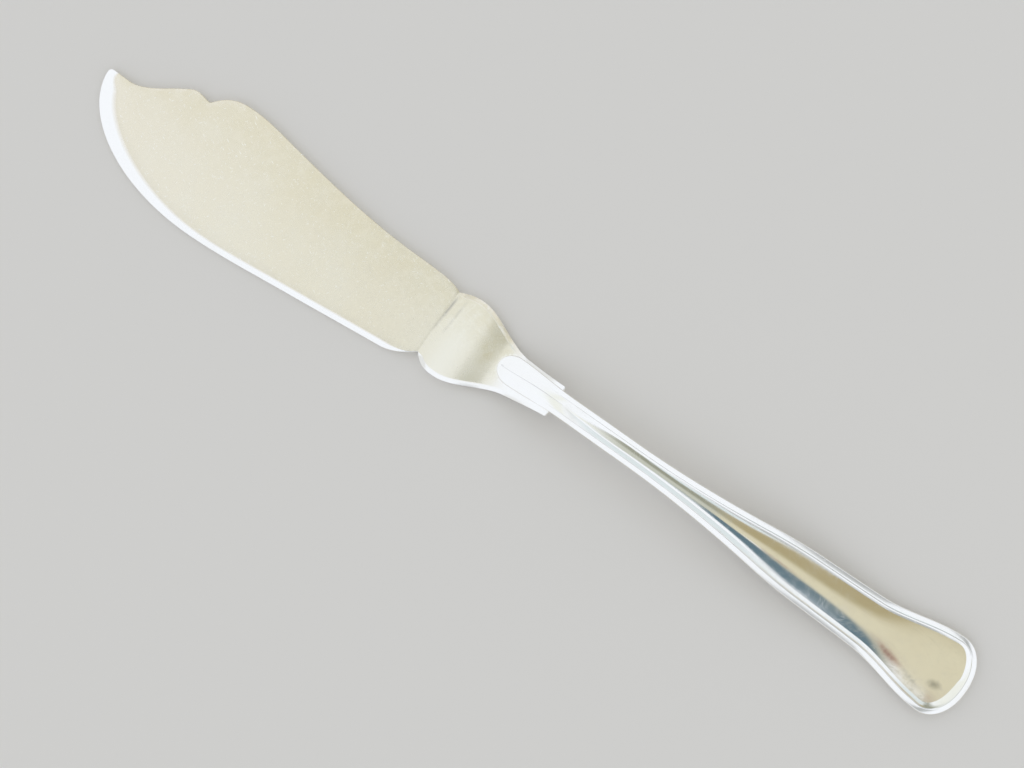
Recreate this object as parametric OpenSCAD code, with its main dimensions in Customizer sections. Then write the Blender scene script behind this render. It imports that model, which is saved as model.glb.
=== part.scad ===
// A one-piece table fish knife, lying on its flat side.
// X runs along the knife from the blade's heel towards the butt, +Y towards the notched back
// and Z up from the table. The origin is under the heel, on the handle's centre line.

/* [Blade outline] */
// Length of the blade from the heel notches to the tip
blade_l = 79; // [60:0.5:100]
// Height of the tip above the centre line
tip_h = 2.3; // [0:0.1:5]
// Width of the blunt end of the tip
tip_w = 0.7; // [0.3:0.1:1.5]
// Length of the level stretch of back behind the tip
tip_flat_l = 4.6; // [2:0.1:7]
// Distance from the tip to the spur on the back
spur_from_tip = 16.2; // [12:0.2:20]
// Height of the spur above the centre line
spur_h = 8.9; // [7:0.1:10.5]
// Length of the spur's rounded top
spur_round = 1.4; // [0.6:0.1:2.4]
// Distance from the spur to the bottom of the notch in the back
notch_from_spur = 3.3; // [2:0.1:5]
// Depth of the notch below the spur
notch_d = 0.45; // [0.2:0.05:1.2]
// Distance from the notch to the top of the lobe behind it
lobe_from_notch = 8; // [5:0.2:12]
// Height of the lobe above the centre line
lobe_h = 12.15; // [10.5:0.05:15]
// Distance from the lobe to the middle of its long fall
fall_from_lobe = 10.5; // [8:0.5:16]
// Height of the back at the middle of the fall
fall_h = 10.8; // [9.5:0.1:12]
// Distance from the heel notches to where the back runs level
level_from_heel = 14.5; // [10:0.5:20]
// Height of the level stretch of the back
level_h = 7.6; // [6.5:0.1:9]
// Distance from the tip to the deepest point of the belly
belly_from_tip = 29.5; // [22:0.5:38]
// Depth of the belly below the centre line
belly_d = 14.4; // [12:0.1:17]
// Length of straight pull on the curve at the tip, which sets how blunt the front is
front_pull = 8.5; // [5:0.5:12]
// Length of straight pull on the curve at the belly, which sets how full the front is
belly_pull = 17; // [10:0.5:22]
// Depth of the cutting edge midway between the belly and the heel
middle_d = 12.8; // [11.8:0.1:14]
// Depth of the cutting edge where it starts to round up to the heel
heel_d = 10.7; // [9:0.1:12]
// Length of the rounded heel corner on the back
heel_back_l = 6; // [4:0.2:8]
// Length of the rounded heel corner on the cutting edge
heel_edge_l = 7; // [5:0.2:9]
// Width of the ground bevel round the front of the blade
front_bevel_w = 3.4; // [1.5:0.1:4]
// Width of the bevel from the belly to the heel
rear_bevel_w = 1.35; // [0.6:0.05:2]
// Distance behind the belly at which the bevel has narrowed
bevel_narrow_l = 8; // [2:0.5:16]

/* [Neck outline] */
// Length of the neck from the heel notches to the shoulders
neck_l = 26.3; // [22:0.5:32]
// Height of the heel notch in the back above the centre line
notch_back_y = 6.35; // [5:0.05:7]
// Depth of the heel notch in the cutting edge below the centre line
notch_edge_y = 7.3; // [6:0.1:8]
// Distance from the heel notches to the widest part of the neck
bulge_x = 4.7; // [3:0.1:6]
// Height of the neck's bulge on the back side
bulge_back_y = 7.6; // [7:0.1:9]
// Depth of the neck's bulge on the edge side
bulge_edge_y = 9.4; // [8.2:0.1:11]
// Distance from the heel notches to where the neck meets its collar
collar_x = 18; // [15:0.1:20]
// Height of the collar on the back side
collar_back_y = 3.45; // [3.2:0.05:4.5]
// Depth of the collar on the edge side
collar_edge_y = 4.7; // [3.4:0.05:5.5]
// Height of the collar at the shoulders, on the back side
shoulder_back_y = 3.15; // [3:0.05:4]
// Depth of the collar at the shoulders, on the edge side
shoulder_edge_y = 3.45; // [3:0.05:4.5]
// Length over which the shoulders step in to the shaft
shoulder_step_l = 1; // [0.5:0.1:2]
// Width of the sloping rim of the neck
rim_w = 0.95; // [0.4:0.05:1.2]
// Height of the sloping rim of the neck
rim_h = 0.5; // [0.2:0.05:0.6]
// Height of the neck's middle above the inner lines of its rims
neck_crown = 0.15; // [0:0.05:0.4]

/* [Tongue] */
// Distance from the heel notches to the tip of the tongue
tongue_x = 13.6; // [11:0.1:15]
// Width of the tongue behind its rounded tip
tongue_w = 5.8; // [5:0.1:6.4]
// Length of the tongue's rounded tip
tongue_round = 3.2; // [2:0.1:4.5]
// Height of the tongue's edge above the neck
tongue_step = 0.2; // [0.1:0.05:0.5]
// Height of the tongue's middle above its edge
tongue_crown = 0.4; // [0.2:0.05:0.8]
// Distance from the tongue's tip to the bottom of the dip in front of it
dip_from_tongue = 0.8; // [0.5:0.1:3]

/* [Handle outline] */
// Length of the handle from the shoulders to the butt
handle_l = 94.6; // [80:0.5:110]
// Width of the shaft behind the shoulders
shaft_w = 4.8; // [4.2:0.1:5.6]
// Length of the slim shaft
shaft_l = 15.7; // [8:0.5:24]
// Width of the shaft where it begins to swell
shaft_end_w = 4.9; // [4.2:0.1:6]
// Distance from the hips to the middle of the swell
swell_from_hip = 11.6; // [8:0.2:16]
// Width at the middle of the swell
swell_w = 8.6; // [7.4:0.1:9.4]
// Width across the hips
hip_w = 10.45; // [9.6:0.05:12]
// Distance from the butt's end to the hips
hip_from_end = 37; // [34:0.5:42]
// Width where the butt begins to flare
flare_w = 11.4; // [10.6:0.1:12.6]
// Distance from the butt's end to where it begins to flare
flare_from_end = 22.5; // [20:0.5:28]
// Width of the butt
butt_w = 16.7; // [14:0.1:20]
// Length of the butt's rounded end
butt_round = 6; // [4:0.1:8]
// Squareness of the rounded end, where 2 is an ellipse
butt_square = 2.1; // [2:0.05:3]

/* [Threads] */
// Distance from the handle's edge to the groove between the threads, along the shaft
shaft_thread_w = 1.05; // [0.8:0.05:1.2]
// Distance from the handle's edge to the groove, round the butt
butt_thread_w = 1.2; // [0.9:0.05:1.5]
// Width of both threads together along the shaft
shaft_border_w = 1.75; // [1.5:0.05:2]
// Width of both threads together at the hips
hip_border_w = 2.1; // [1.8:0.05:2.6]
// Width of both threads together across the end of the butt
end_border_w = 2.8; // [2.2:0.1:3.6]
// Height of the threads above the edge of the panel
inner_thread_h = 0.3; // [0.1:0.05:0.4]
// Height of the threads above the edge of the panel across the end of the butt
end_thread_h = 0.38; // [0.1:0.02:0.5]
// Width of the groove between the threads
groove_w = 0.3; // [0.2:0.05:0.4]
// Depth of the groove between the threads
groove_d = 0.2; // [0.1:0.05:0.3]
// Length of tongue over which the threads start to rise, before the shoulders
thread_start_l = 2.8; // [1:0.2:5]
// Distance over which the threads reach their full height behind the shoulders
thread_fade_l = 4; // [2:0.5:8]
// Distance from the shoulders to where the panel opens between the threads
panel_from_neck = 2; // [1:0.5:6]
// Height of the panel's middle above its edge, along the shaft
shaft_panel_h = 0.1; // [0:0.05:0.3]
// Height of the panel's middle above its edge, at the hips
hip_panel_h = 0.45; // [0.2:0.05:0.6]
// Height of the panel's middle above its edge, at the butt
butt_panel_h = 0.15; // [0:0.05:0.3]

/* [Side profile] */
// Thickness of the blade at the heel
blade_t = 1.6; // [1.3:0.1:2.4]
// Thickness of the blade at the tip, before the bevel
tip_t = 1.1; // [0.8:0.1:1.3]
// Thickness left at the cutting edge
edge_t = 0.55; // [0.3:0.05:0.7]
// Depth of the crease between the blade and the neck
crease_d = 0.08; // [0.04:0.01:0.3]
// Length of the short ramp behind the crease
ramp_l = 2.3; // [1.5:0.1:3.5]
// Rise from the blade's face to the top of the ramp
ramp_h = 0.2; // [0.05:0.05:0.5]
// Distance from the heel notches to the crest of the neck
crest_from_heel = 7; // [5:0.2:9]
// Height of the crest of the neck above the table
crest_z = 2.3; // [2:0.05:3]
// Height of the neck's face above the table in front of the tongue
dip_z = 2.1; // [1.9:0.05:3]
// Height of the neck's underside above the table in front of the tongue
dip_under_z = 0.55; // [0.5:0.05:1]
// Length of the neck that lies flat on the table
neck_flat_l = 5; // [3:0.5:7]
// Thickness of the collar at the shoulders
collar_t = 2.5; // [2:0.1:3]
// Thickness of the shaft at the middle of its panel
shaft_t = 3.2; // [2.8:0.1:4]
// Thickness of the handle at the hips, at the middle of its panel
hip_t = 3.1; // [2.6:0.1:3.8]
// Thickness of the butt at the middle of its panel
butt_t = 2.3; // [1.9:0.1:3]
// Thickness of the handle's edge at the shoulders
shaft_edge_t = 2.3; // [1.8:0.1:2.6]
// Thickness of the handle's edge at the top of its arch
arch_edge_t = 1.8; // [1.4:0.1:2.2]
// Thickness of the handle's edge at the butt
butt_edge_t = 1.3; // [1:0.1:1.6]
// Height of the middle of the handle above the table at the shoulders
shoulder_z = 4.6; // [3.4:0.1:5.4]
// Height of the middle of the handle above the table at the top of its arch
arch_z = 5.6; // [4.6:0.1:7]
// Distance from the shoulders to the top of the arch
arch_x = 32; // [24:0.5:40]
// Length of the level stretch at the butt
butt_level_l = 11; // [8:0.5:16]

/* [Smoothness] */
// Number of steps along the blade's front curve
front_steps = 26; // [12:1:40]
// Length of one step along the gentle curves
step_l = 2; // [1.5:0.5:4]
// Number of steps round each rounded end of the handle
round_steps = 9; // [6:1:14]
// Number of steps across the flank of one thread
thread_steps = 3; // [2:1:5]
// Number of steps across half of the panel
panel_steps = 4; // [3:1:8]

/* [Hidden] */

tip_x = -blade_l;
spur_x = tip_x + spur_from_tip;
notch_x = spur_x + notch_from_spur;
lobe_x = notch_x + lobe_from_notch;
fall_x = lobe_x + fall_from_lobe;
belly_x = tip_x + belly_from_tip;
shaft_x = neck_l + shoulder_step_l;
end_x = neck_l + handle_l;
round_x = end_x - butt_round;
hip_x = end_x - hip_from_end;
swell_x = hip_x - swell_from_hip;
flare_x = end_x - flare_from_end;
panel_x = neck_l + panel_from_neck;

// Height of the butt's middle, so that its higher threads rest on the table
butt_z = butt_t / 2 + max(0, max(inner_thread_h, end_thread_h) - butt_panel_h);

// How far a cut reaches past the metal
clear = 0.5;

// Slopes of the outlines at their knots, in millimetres of rise for each millimetre of length
spur_slope = 0.5;
notch_slope = 1.35;
fall_slope = -0.165;
level_slope = -0.04;
edge_slope = 0.095;
heel_back_slope = -0.5;
heel_edge_slope = 0.9;
neck_back_slope = 0.55;
neck_edge_slope = -1.3;
collar_back_slope = -0.08;
collar_edge_slope = 0.15;
shoulder_edge_slope = 0.1;
swell_slope = 0.12;
hip_slope = 0.03;
flare_slope = 0.05;
opening_slope = -0.1;
thinning_slope = -0.012;

// The cubic between two knots of the form [place, value, slope]
function cubic(a, b, x) =
    let (w = b[0] - a[0], u = (x - a[0]) / w, v = 1 - u)
    v * v * (1 + 2 * u) * a[1] + u * u * (1 + 2 * v) * b[1] + u * v * w * (v * a[2] - u * b[2]);

// Value at x of a smooth curve through knots, where two knots at one place make a corner
function along(knots, x) =
    let (passed = [for (i = [0:len(knots) - 2]) if (knots[i][0] <= x) i], i = max(concat([0], passed)))
    cubic(knots[i], knots[i + 1], x);

// Places from a to b with even steps of about step_l, without b
function places(a, b, step = step_l) =
    let (n = max(1, round((b - a) / step)))
    [for (i = [0:n - 1]) a + (b - a) * i / n];

function mix(a, b, u) = a + (b - a) * u;
function flip(points) = [for (i = [len(points) - 1:-1:0]) points[i]];

// A smooth step from 0 to 1
function ease(u) = let (v = min(max(u, 0), 1)) v * v * (3 - 2 * v);

// Share of a crown's height at share u of the way from its foot to its middle
function rise(u) = u * (2 - u);

// Share of a flank's height at share u of the way up it, slightly rounded
flank_power = 1.3;
function flank(u) = 1 - pow(max(0, 1 - u), flank_power);

// Height of the blade's back above the centre line
back_knots = [
    [tip_x, tip_h + tip_w, 0],
    [tip_x + tip_flat_l, tip_h + tip_w, 0],
    [spur_x - spur_round / 2, spur_h - spur_round * spur_slope / 4, spur_slope],
    [spur_x + spur_round / 2, spur_h, -notch_d / notch_from_spur],
    [notch_x, spur_h - notch_d, -notch_d / notch_from_spur],
    [notch_x, spur_h - notch_d, notch_slope],
    [lobe_x, lobe_h, 0],
    [fall_x, fall_h, fall_slope],
    [-level_from_heel, level_h, level_slope],
    [-heel_back_l, level_h + level_slope * (level_from_heel - heel_back_l) / 2, level_slope],
    [0, notch_back_y, heel_back_slope]
];

// Height of the cutting edge from the belly to the heel, always below the centre line
edge_knots = [
    [belly_x, -belly_d, 0],
    [(belly_x - heel_edge_l) / 2, -middle_d, edge_slope],
    [-heel_edge_l, -heel_d, edge_slope],
    [0, -notch_edge_y, heel_edge_slope]
];

// Four control points of the front curve, from the tip round to the belly
front_curve = [
    [tip_x, tip_h],
    [tip_x, tip_h - front_pull],
    [belly_x - belly_pull, -belly_d],
    [belly_x, -belly_d]
];

function bezier(p, u) =
    let (v = 1 - u)
    v * v * v * p[0] + 3 * u * v * v * p[1] + 3 * u * u * v * p[2] + u * u * u * p[3];

front_points = [for (i = [0:front_steps - 1]) bezier(front_curve, i / front_steps)];
edge_x = concat(places(belly_x, -heel_edge_l), places(-heel_edge_l, 0, step_l / 3), [0]);
edge_points = concat(front_points, [for (x = edge_x) [x, along(edge_knots, x)]]);
back_x = concat(
    places(tip_x, tip_x + tip_flat_l),
    places(tip_x + tip_flat_l, spur_x - spur_round / 2, step_l / 2),
    places(spur_x - spur_round / 2, spur_x + spur_round / 2, spur_round / 4),
    places(spur_x + spur_round / 2, notch_x, notch_from_spur / 2),
    places(notch_x, lobe_x, step_l / 2),
    places(lobe_x, -heel_back_l),
    places(-heel_back_l, 0, step_l / 2),
    [0]
);
back_points = [for (x = back_x) [x, along(back_knots, x)]];

// Rows of points that run from side to side across the top and the bottom make one closed skin
module skin(top, bottom, capped) {
    rows = len(top);
    columns = len(top[0]);
    function t(i, j) = i * columns + j;
    function b(i, j) = rows * columns + i * columns + j;
    points = concat([for (row = top) each row], [for (row = bottom) each row]);
    top_faces = [for (i = [0:rows - 2], j = [0:columns - 2])
        each [[t(i, j), t(i + 1, j), t(i + 1, j + 1)], [t(i, j), t(i + 1, j + 1), t(i, j + 1)]]];
    bottom_faces = [for (i = [0:rows - 2], j = [0:columns - 2])
        each [[b(i, j), b(i + 1, j + 1), b(i + 1, j)], [b(i, j), b(i, j + 1), b(i + 1, j + 1)]]];
    side_faces = [for (i = [0:rows - 2]) each [
        [t(i, 0), b(i, 0), b(i + 1, 0)],
        [t(i, 0), b(i + 1, 0), t(i + 1, 0)],
        [t(i, columns - 1), b(i + 1, columns - 1), b(i, columns - 1)],
        [t(i, columns - 1), t(i + 1, columns - 1), b(i + 1, columns - 1)]
    ]];
    first_cap = [for (j = [0:columns - 2])
        each [[t(0, j), b(0, j + 1), b(0, j)], [t(0, j), t(0, j + 1), b(0, j + 1)]]];
    last_cap = [for (j = [0:columns - 2], i = [rows - 1])
        each [[t(i, j), b(i, j), b(i, j + 1)], [t(i, j), b(i, j + 1), t(i, j + 1)]]];
    caps = capped ? concat(first_cap, last_cap) : [];
    polyhedron(points, concat(top_faces, bottom_faces, side_faces, caps));
}

// Direction into the blade, square to the cutting edge at point i
function inward(i) =
    let (a = edge_points[max(i - 1, 0)], b = edge_points[min(i + 1, len(edge_points) - 1)])
    i == 0 ? [1, 0] : [a.y - b.y, b.x - a.x] / norm(b - a);

function blade_top(x) = blade_t + (blade_t - tip_t) * x / blade_l;

// Width of the bevel, and the share of it that is left as it runs out in the heel corner
heel_share = 0.1;
bevel_knots = [[tip_x, front_bevel_w, 0], [belly_x + bevel_narrow_l, rear_bevel_w, 0], [0, rear_bevel_w, 0]];
bevel_share_knots = [[tip_x, 1, 0], [-heel_edge_l, 1, 0], [0, heel_share, 0]];

// The wedge of metal that is ground away along the cutting edge, from above the tip to past the heel
module bevel() {
    function section(p, n) =
        let (
            x = min(p.x, 0),
            top = blade_top(x),
            full_w = along(bevel_knots, x),
            slope = (top - edge_t) / full_w,
            w = full_w * along(bevel_share_knots, x),
            a = p + n * w,
            c = p - n * clear,
            over = top + clear
        )
        [[a.x, a.y, top], [c.x, c.y, top - slope * (w + clear)], [c.x, c.y, over], [a.x, a.y, over]];
    last = len(edge_points) - 1;
    run_in = section(edge_points[0] + [0, tip_w + clear], [1, 0]);
    run_out = section(edge_points[last] + clear * [inward(last).y, -inward(last).x], inward(last));
    sections = concat([run_in], [for (i = [0:last]) section(edge_points[i], inward(i))], [run_out]);
    n = len(sections);
    sides = [for (i = [0:n - 2], j = [0:3]) let (k = (j + 1) % 4) each [
        [4 * i + j, 4 * i + k, 4 * i + 4 + k],
        [4 * i + j, 4 * i + 4 + k, 4 * i + 4 + j]
    ]];
    ends = [[3, 2, 1, 0], [4 * n - 4, 4 * n - 3, 4 * n - 2, 4 * n - 1]];
    polyhedron([for (s = sections) each s], concat(sides, ends));
}

module blade() {
    front_x = tip_x - clear;
    difference() {
        intersection() {
            linear_extrude(blade_t) polygon(concat(edge_points, flip(back_points)));
            rotate([90, 0, 0]) linear_extrude(2 * (lobe_h + belly_d), center = true)
                polygon([[front_x, 0], [0, 0], [0, blade_top(0)], [front_x, blade_top(front_x)]]);
        }
        bevel();
    }
}

// Neck outline on both sides, ending inside the shaft
neck_back_knots = [
    [0, notch_back_y, neck_back_slope],
    [bulge_x, bulge_back_y, 0],
    [collar_x, collar_back_y, collar_back_slope],
    [neck_l, shoulder_back_y, 0],
    [shaft_x, shaft_w / 2 - rim_w / 2, 0]
];
neck_edge_knots = [
    [0, -notch_edge_y, neck_edge_slope],
    [bulge_x, -bulge_edge_y, 0],
    [collar_x, -collar_edge_y, collar_edge_slope],
    [neck_l, -shoulder_edge_y, shoulder_edge_slope],
    [shaft_x, rim_w / 2 - shaft_w / 2, 0]
];
rise_slope = (shoulder_z - (dip_z + dip_under_z) / 2) / (neck_l - tongue_x);
shoulder_slope = rise_slope * 0.45;
neck_top_knots = [
    [0, blade_t - crease_d, (crease_d + ramp_h) / ramp_l],
    [ramp_l, blade_t + ramp_h, (crest_z - blade_t - ramp_h) / (crest_from_heel - ramp_l)],
    [crest_from_heel, crest_z, 0],
    [tongue_x - dip_from_tongue, dip_z, 0],
    [neck_l, shoulder_z + collar_t / 2, shoulder_slope]
];
neck_under_knots = [
    [0, 0, 0],
    [neck_flat_l, 0, 0],
    [tongue_x, dip_under_z, shoulder_slope],
    [neck_l, shoulder_z - collar_t / 2, shoulder_slope]
];

// The neck, with a tapered root that reaches into the blade
module neck() {
    root_l = 0.8;
    root_share = 0.7;
    columns = 8;
    from_edge = rim_w * [0, 0.25, 0.6, 1];
    x_list = concat(
        places(0, bulge_x, step_l / 3),
        places(bulge_x, tongue_x, step_l / 2),
        places(tongue_x, neck_l),
        places(neck_l, shaft_x, shoulder_step_l / 3),
        [shaft_x]
    );
    function low(x) = along(neck_edge_knots, x);
    function high(x) = along(neck_back_knots, x);
    function across(x) = concat(
        [for (d = from_edge) high(x) - d],
        [for (i = [1:columns - 1]) mix(high(x) - rim_w, low(x) + rim_w, i / columns)],
        [for (d = flip(from_edge)) low(x) + d]
    );
    function rim_loss(x, y) = rim_h * (1 - flank(min(high(x) - y, y - low(x)) / rim_w));
    function crown_loss(x, y) =
        let (half = (high(x) - low(x)) / 2 - rim_w, off = min(half, abs(y - (high(x) + low(x)) / 2)))
        neck_crown * ease(x / crest_from_heel) * pow(off / half, 2);
    function top_row(x) =
        [for (y = across(x)) [x, y, along(neck_top_knots, x) - crown_loss(x, y) - rim_loss(x, y)]];
    function under_row(x) =
        let (z = along(neck_under_knots, x), lift = min(1, z / rim_h))
        [for (y = across(x)) [x, y, z + lift * rim_loss(x, y)]];
    function root(row, z) = [for (p = row) [-root_l, p.y * root_share, z]];
    first_top = root(top_row(0), blade_t / 2);
    first_under = root(under_row(0), blade_t / 4);
    skin(concat([first_top], [for (x = x_list) top_row(x)]),
        concat([first_under], [for (x = x_list) under_row(x)]), true);
}

// Handle: half width, height of its middle and half thickness along its length
half_width_knots = [
    [tongue_x + tongue_round, tongue_w / 2, 0],
    [shaft_x, shaft_w / 2, 0],
    [neck_l + shaft_l, shaft_end_w / 2, 0],
    [swell_x, swell_w / 2, swell_slope],
    [hip_x, hip_w / 2, hip_slope],
    [flare_x, flare_w / 2, flare_slope],
    [round_x, butt_w / 2, 0],
    [end_x, butt_w / 2, 0]
];
middle_knots = [
    [tongue_x, (dip_z + dip_under_z) / 2, rise_slope],
    [neck_l, shoulder_z, shoulder_slope],
    [neck_l + arch_x, arch_z, 0],
    [end_x - butt_level_l, butt_z, 0],
    [end_x, butt_z, 0]
];
half_thick_knots = [
    [tongue_x, (dip_z - dip_under_z) / 2 + tongue_step + tongue_crown, 0],
    [neck_l, shaft_t / 2, 0],
    [neck_l + arch_x, shaft_t / 2, 0],
    [hip_x, hip_t / 2, thinning_slope],
    [end_x - butt_level_l, butt_t / 2, 0],
    [end_x, butt_t / 2, 0]
];
half_edge_knots = [
    [tongue_x, (dip_z - dip_under_z) / 2 + tongue_step, 0],
    [neck_l, shaft_edge_t / 2, 0],
    [neck_l + arch_x, arch_edge_t / 2, 0],
    [end_x, butt_edge_t / 2, 0]
];
panel_h_knots = [
    [tongue_x, 0, 0],
    [panel_x, 0, 0],
    [neck_l + shaft_l, shaft_panel_h, 0],
    [hip_x, hip_panel_h, 0],
    [end_x - butt_level_l, butt_panel_h, 0],
    [end_x, butt_panel_h, 0]
];
border_knots = [
    [panel_x, shaft_w / 2, opening_slope],
    [neck_l + shaft_l, shaft_border_w, 0],
    [hip_x, hip_border_w, 0],
    [round_x, hip_border_w, 0],
    [end_x, end_border_w, 0]
];
thread_knots = [
    [neck_l, shaft_thread_w, 0],
    [hip_x, butt_thread_w, 0],
    [round_x, butt_thread_w, 0],
    [end_x, butt_thread_w * end_border_w / hip_border_w, 0]
];
thread_h_knots = [
    [tongue_x, inner_thread_h, 0],
    [round_x, inner_thread_h, 0],
    [end_x, end_thread_h, 0]
];

// Share of the threads' height, which rises from the plain tongue
fade_knots = [
    [tongue_x, 0, 0],
    [neck_l - thread_start_l, 0, 0],
    [neck_l + thread_fade_l, 1, 0],
    [end_x, 1, 0]
];

// Each rib is a pair: its foot on the outline and its head on the centre line
fan_x = end_x - butt_w / 2;
tongue_fan = [for (i = [0:round_steps - 1]) let (a = 90 * i / round_steps)
    [[tongue_x + tongue_round * (1 - cos(a)), tongue_w / 2 * sin(a)], [tongue_x + tongue_round, 0]]];
long_ribs = [for (x = concat(
        places(tongue_x + tongue_round, neck_l),
        places(neck_l, neck_l + thread_fade_l, step_l / 2),
        places(neck_l + thread_fade_l, round_x)))
    [[x, along(half_width_knots, x)], [min(x, fan_x), 0]]];
butt_fan = [for (i = [0:round_steps]) let (a = 90 - 90 * i / round_steps, p = 2 / butt_square)
    [[round_x + butt_round * pow(cos(a), p), butt_w / 2 * pow(sin(a), p)], [fan_x, 0]]];
ribs = concat(tongue_fan, long_ribs, butt_fan);

function reach(rib) = norm(rib[1] - rib[0]);
function thread_width(rib) = along(thread_knots, max(rib[0].x, neck_l));

// Width of both threads on a rib, which fill it up to where the panel opens
function border_width(rib) =
    rib[0].x <= panel_x ? reach(rib) : min(reach(rib), along(border_knots, rib[0].x));

// Half thickness of the handle at distance d from the foot of a rib
function half_thick(rib, d) =
    let (
        border = border_width(rib),
        thread = thread_width(rib),
        off = abs(d - thread) / (groove_w / 2),
        panel_w = reach(rib) - border,
        q = d / reach(rib),
        at = mix(rib[0], rib[1], q).x,
        edge = along(half_edge_knots, at),
        middle = along(half_thick_knots, at),
        panel_h = along(panel_h_knots, at),
        low = middle - panel_h,
        ridge = low + along(thread_h_knots, rib[0].x),
        plain = mix(edge, middle, rise(q)),
        threaded = off <= 1 ? ridge - groove_d * (1 - off)
            : d < thread ? mix(edge, ridge, flank(d / (thread - groove_w / 2)))
            : d < border ? mix(low, ridge, flank((border - d) / (border - thread - groove_w / 2)))
            : low + panel_h * rise(panel_w > 0 ? (d - border) / panel_w : 0)
    )
    mix(plain, threaded, along(fade_knots, rib[0].x));

// Distances from a rib's foot to its points
function rib_depths(rib) =
    let (border = border_width(rib), thread = thread_width(rib), half = groove_w / 2)
    concat(
        [for (i = [0:thread_steps - 1]) (thread - half) * i / thread_steps],
        [thread - half, thread],
        [for (i = [0:thread_steps - 1]) mix(thread + half, border, i / thread_steps)],
        [for (i = [0:panel_steps]) mix(border, reach(rib), i / panel_steps)]
    );

// Points of one rib on the upper face (side = 1) or the under face (side = -1)
function rib_points(rib, side) =
    [for (d = rib_depths(rib)) let (p = mix(rib[0], rib[1], d / reach(rib)))
        [p.x, p.y, along(middle_knots, p.x) + side * half_thick(rib, d)]];

function whole_row(half) =
    concat(half, [for (i = [len(half) - 2:-1:0]) [half[i].x, -half[i].y, half[i].z]]);

module handle() {
    skin([for (rib = ribs) whole_row(rib_points(rib, 1))],
        [for (rib = ribs) whole_row(rib_points(rib, -1))], false);
}

module knife() {
    color([0.87, 0.85, 0.79]) union() {
        blade();
        neck();
        handle();
    }
}

knife();
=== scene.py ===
"""A one-piece table fish knife in polished silver, lying on its flat side on a pale floor.

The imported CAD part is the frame. One dense piece stands for its node, made from the same sizes, so that
the polished metal shows smooth reflections. Sizes are millimetres here and become metres in the mesh.
"""

import math

import bmesh
import bpy
from mathutils import Matrix, Vector


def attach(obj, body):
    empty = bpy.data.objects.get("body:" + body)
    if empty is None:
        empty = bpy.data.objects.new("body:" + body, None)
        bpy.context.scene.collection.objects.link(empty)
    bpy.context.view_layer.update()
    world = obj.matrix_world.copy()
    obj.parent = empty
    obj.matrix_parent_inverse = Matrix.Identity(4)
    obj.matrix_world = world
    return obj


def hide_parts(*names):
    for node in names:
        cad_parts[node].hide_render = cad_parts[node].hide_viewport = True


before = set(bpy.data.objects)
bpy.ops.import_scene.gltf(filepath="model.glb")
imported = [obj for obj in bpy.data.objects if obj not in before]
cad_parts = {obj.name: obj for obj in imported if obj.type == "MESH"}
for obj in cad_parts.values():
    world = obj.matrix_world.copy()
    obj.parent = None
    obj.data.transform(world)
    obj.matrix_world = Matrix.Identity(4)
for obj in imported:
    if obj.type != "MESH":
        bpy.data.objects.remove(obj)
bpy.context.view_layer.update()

MM = 0.001

# Sizes in millimetres

# These are as in the part's source. Only the neck's crease, ramp, crest, dip and rims and the edges of the
# arch and the butt differ a little, because this piece can follow the photo more closely.
BLADE_L = 79.0
TIP_H, TIP_W, TIP_FLAT_L = 2.3, 0.7, 4.6
SPUR_FROM_TIP, SPUR_H, SPUR_ROUND = 16.2, 8.9, 1.4
NOTCH_FROM_SPUR, NOTCH_D = 3.3, 0.45
LOBE_FROM_NOTCH, LOBE_H = 8.0, 12.15
FALL_FROM_LOBE, FALL_H = 10.5, 10.8
LEVEL_FROM_HEEL, LEVEL_H = 14.5, 7.6
BELLY_FROM_TIP, BELLY_D = 29.5, 14.4
FRONT_PULL, BELLY_PULL = 8.5, 17.0
MIDDLE_D, HEEL_D = 12.8, 10.7
HEEL_BACK_L, HEEL_EDGE_L = 6.0, 7.0
FRONT_BEVEL_W, REAR_BEVEL_W, BEVEL_NARROW_L, HEEL_SHARE = 3.4, 1.35, 8.0, 0.1

NECK_L = 26.3
NOTCH_BACK_Y, NOTCH_EDGE_Y = 6.35, 7.3
BULGE_X, BULGE_BACK_Y, BULGE_EDGE_Y = 4.7, 7.6, 9.4
COLLAR_X, COLLAR_BACK_Y, COLLAR_EDGE_Y = 18.0, 3.45, 4.7
SHOULDER_BACK_Y, SHOULDER_EDGE_Y, SHOULDER_STEP_L = 3.15, 3.45, 1.0
RIM_W, RIM_H, NECK_CROWN = 0.95, 0.6, 0.15

TONGUE_X, TONGUE_W, TONGUE_ROUND = 13.6, 5.8, 3.2
TONGUE_STEP, TONGUE_CROWN, DIP_FROM_TONGUE = 0.2, 0.4, 0.8

HANDLE_L = 94.6
SHAFT_W, SHAFT_L, SHAFT_END_W = 4.8, 15.7, 4.9
SWELL_FROM_HIP, SWELL_W = 11.6, 8.6
HIP_W, HIP_FROM_END = 10.45, 37.0
FLARE_W, FLARE_FROM_END = 11.4, 22.5
BUTT_W, BUTT_ROUND, BUTT_SQUARE = 16.7, 6.0, 2.1

SHAFT_THREAD_W, BUTT_THREAD_W = 1.05, 1.2
SHAFT_BORDER_W, HIP_BORDER_W, END_BORDER_W = 1.75, 2.1, 2.8
INNER_THREAD_H, END_THREAD_H = 0.3, 0.38
HIP_PANEL_H, BUTT_PANEL_H = 0.45, 0.15
THREAD_START_L, THREAD_FADE_L, PANEL_FROM_NECK = 2.8, 4.0, 2.0

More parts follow.
